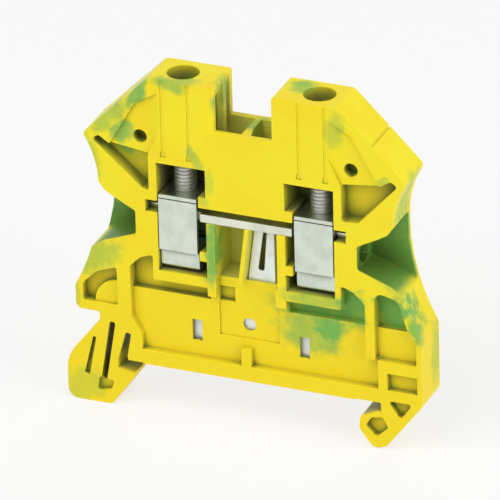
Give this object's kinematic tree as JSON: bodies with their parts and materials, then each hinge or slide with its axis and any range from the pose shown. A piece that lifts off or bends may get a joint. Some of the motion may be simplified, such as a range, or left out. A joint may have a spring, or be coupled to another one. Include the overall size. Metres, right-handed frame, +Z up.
{
  "type": "earth terminal block",
  "caption": "Slim rail-mounted earth terminal block: an open-sided housing with screw clamps on a shared bar and a contact plate that bonds the bar to the rail.",
  "frame": {"origin": "centre of the rail seat, level with the top of the rail that the block clips onto", "axes": "+X along the block from the latch to the fixed hook, +Y along the rail from the open side to the closed side, +Z up away from the rail"},
  "size_m": [0.0478, 0.0062, 0.0465],
  "materials": {
    "housing_plastic": "moulded yellow plastic marbled with green, slight sheen",
    "tinned_bar": "satin tin plating",
    "plated_sleeve": "satin zinc plating",
    "plated_screw": "zinc plated, turned"
  },
  "bodies": {
    "block": {"housing": "housing_plastic", "current_bar": "tinned_bar", "rail_contact": "tinned_bar"},
    "left_sleeve": {"clamp_sleeve_left": "plated_sleeve"},
    "right_sleeve": {"clamp_sleeve_right": "plated_sleeve"},
    "left_screw": {"clamp_screw_left": "plated_screw"},
    "right_screw": {"clamp_screw_right": "plated_screw"}
  },
  "joints": [
    {"name": "left_sleeve_lift", "type": "slide", "parent": "block", "child": "left_sleeve", "axis": [0, 0, 1], "range_m": [0, 0.004]},
    {"name": "right_sleeve_lift", "type": "slide", "parent": "block", "child": "right_sleeve", "axis": [0, 0, 1], "range_m": [0, 0.004]},
    {"name": "left_screw_turn", "type": "hinge", "parent": "block", "child": "left_screw", "pos_m": [-0.00907, 0, 0.03], "axis": [0, 0, -1], "range_deg": [0, 2881]},
    {"name": "right_screw_turn", "type": "hinge", "parent": "block", "child": "right_screw", "pos_m": [0.00907, 0, 0.03], "axis": [0, 0, -1], "range_deg": [0, 2881]}
  ],
  "couplings": [
    {"joint": "left_screw_turn", "follows": "left_sleeve_lift", "rad_per_m": 12566},
    {"joint": "right_screw_turn", "follows": "right_sleeve_lift", "rad_per_m": 12566}
  ]
}
